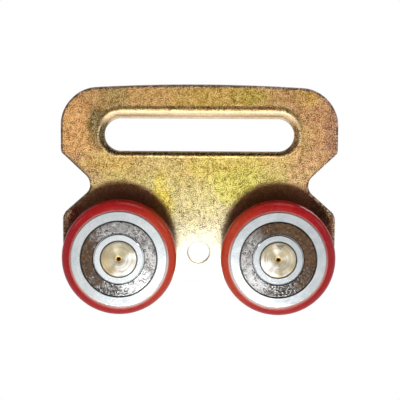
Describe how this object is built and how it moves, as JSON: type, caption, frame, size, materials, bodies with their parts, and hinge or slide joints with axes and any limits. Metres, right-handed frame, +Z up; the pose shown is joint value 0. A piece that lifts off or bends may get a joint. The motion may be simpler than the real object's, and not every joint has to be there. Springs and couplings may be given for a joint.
{
  "type": "two-wheel strap trolley",
  "caption": "Stamped plate hanger with a rolled-edge slot for webbing, and red-tyred ball-bearing wheels on riveted studs, for carrying a strap along a rail.",
  "frame": {"origin": "middle of the slot's upper edge, where the webbing bears, halfway through the plate", "axes": "+X along the rail, across the two wheels; +Y from the wheels' side to the plate's back, along the axles; +Z up, from the wheels to the slot"},
  "size_m": [0.076, 0.0174, 0.0616],
  "materials": {
    "yellow_zinc_plate": "yellow chromated zinc, lightly pitted, satin",
    "pale_zinc_stud": "turned, pale yellow zinc",
    "ring_steel": "ground and polished",
    "red_polyurethane": "glossy moulded polyurethane",
    "shield_steel": "pressed sheet, spotted with light rust",
    "ball_steel": "polished",
    "cage_steel": "pressed sheet"
  },
  "bodies": {
    "hanger": {"hanger_plate": "yellow_zinc_plate", "axle_left": "pale_zinc_stud", "inner_ring_left": "ring_steel", "axle_right": "pale_zinc_stud", "inner_ring_right": "ring_steel"},
    "wheel_left": {"tyre_left": "red_polyurethane", "outer_ring_left": "ring_steel", "shield_front_left": "shield_steel", "shield_rear_left": "shield_steel"},
    "cage_left": {"cage_front_left": "cage_steel", "cage_rear_left": "cage_steel", "ball_left_1": "ball_steel", "ball_left_2": "ball_steel", "ball_left_3": "ball_steel", "ball_left_4": "ball_steel", "ball_left_5": "ball_steel", "ball_left_6": "ball_steel", "ball_left_7": "ball_steel", "cage_rivet_left_1": "cage_steel", "cage_rivet_left_2": "cage_steel", "cage_rivet_left_3": "cage_steel", "cage_rivet_left_4": "cage_steel", "cage_rivet_left_5": "cage_steel", "cage_rivet_left_6": "cage_steel", "cage_rivet_left_7": "cage_steel"},
    "wheel_right": {"tyre_right": "red_polyurethane", "outer_ring_right": "ring_steel", "shield_front_right": "shield_steel", "shield_rear_right": "shield_steel"},
    "cage_right": {"cage_front_right": "cage_steel", "cage_rear_right": "cage_steel", "ball_right_1": "ball_steel", "ball_right_2": "ball_steel", "ball_right_3": "ball_steel", "ball_right_4": "ball_steel", "ball_right_5": "ball_steel", "ball_right_6": "ball_steel", "ball_right_7": "ball_steel", "cage_rivet_right_1": "cage_steel", "cage_rivet_right_2": "cage_steel", "cage_rivet_right_3": "cage_steel", "cage_rivet_right_4": "cage_steel", "cage_rivet_right_5": "cage_steel", "cage_rivet_right_6": "cage_steel", "cage_rivet_right_7": "cage_steel"}
  },
  "joints": [
    {"name": "wheel_left_spin", "type": "hinge", "parent": "hanger", "child": "wheel_left", "pos_m": [-0.0215, -0.0097, -0.0367], "axis": [0, 1, 0], "continuous": true},
    {"name": "cage_left_spin", "type": "hinge", "parent": "hanger", "child": "cage_left", "pos_m": [-0.0215, -0.0097, -0.0367], "axis": [0, 1, 0], "continuous": true},
    {"name": "wheel_right_spin", "type": "hinge", "parent": "hanger", "child": "wheel_right", "pos_m": [0.0215, -0.0097, -0.0367], "axis": [0, 1, 0], "continuous": true},
    {"name": "cage_right_spin", "type": "hinge", "parent": "hanger", "child": "cage_right", "pos_m": [0.0215, -0.0097, -0.0367], "axis": [0, 1, 0], "continuous": true}
  ],
  "couplings": [
    {"joint": "cage_left_spin", "follows": "wheel_left_spin", "ratio": 0.63885},
    {"joint": "cage_right_spin", "follows": "wheel_right_spin", "ratio": 0.63885}
  ]
}
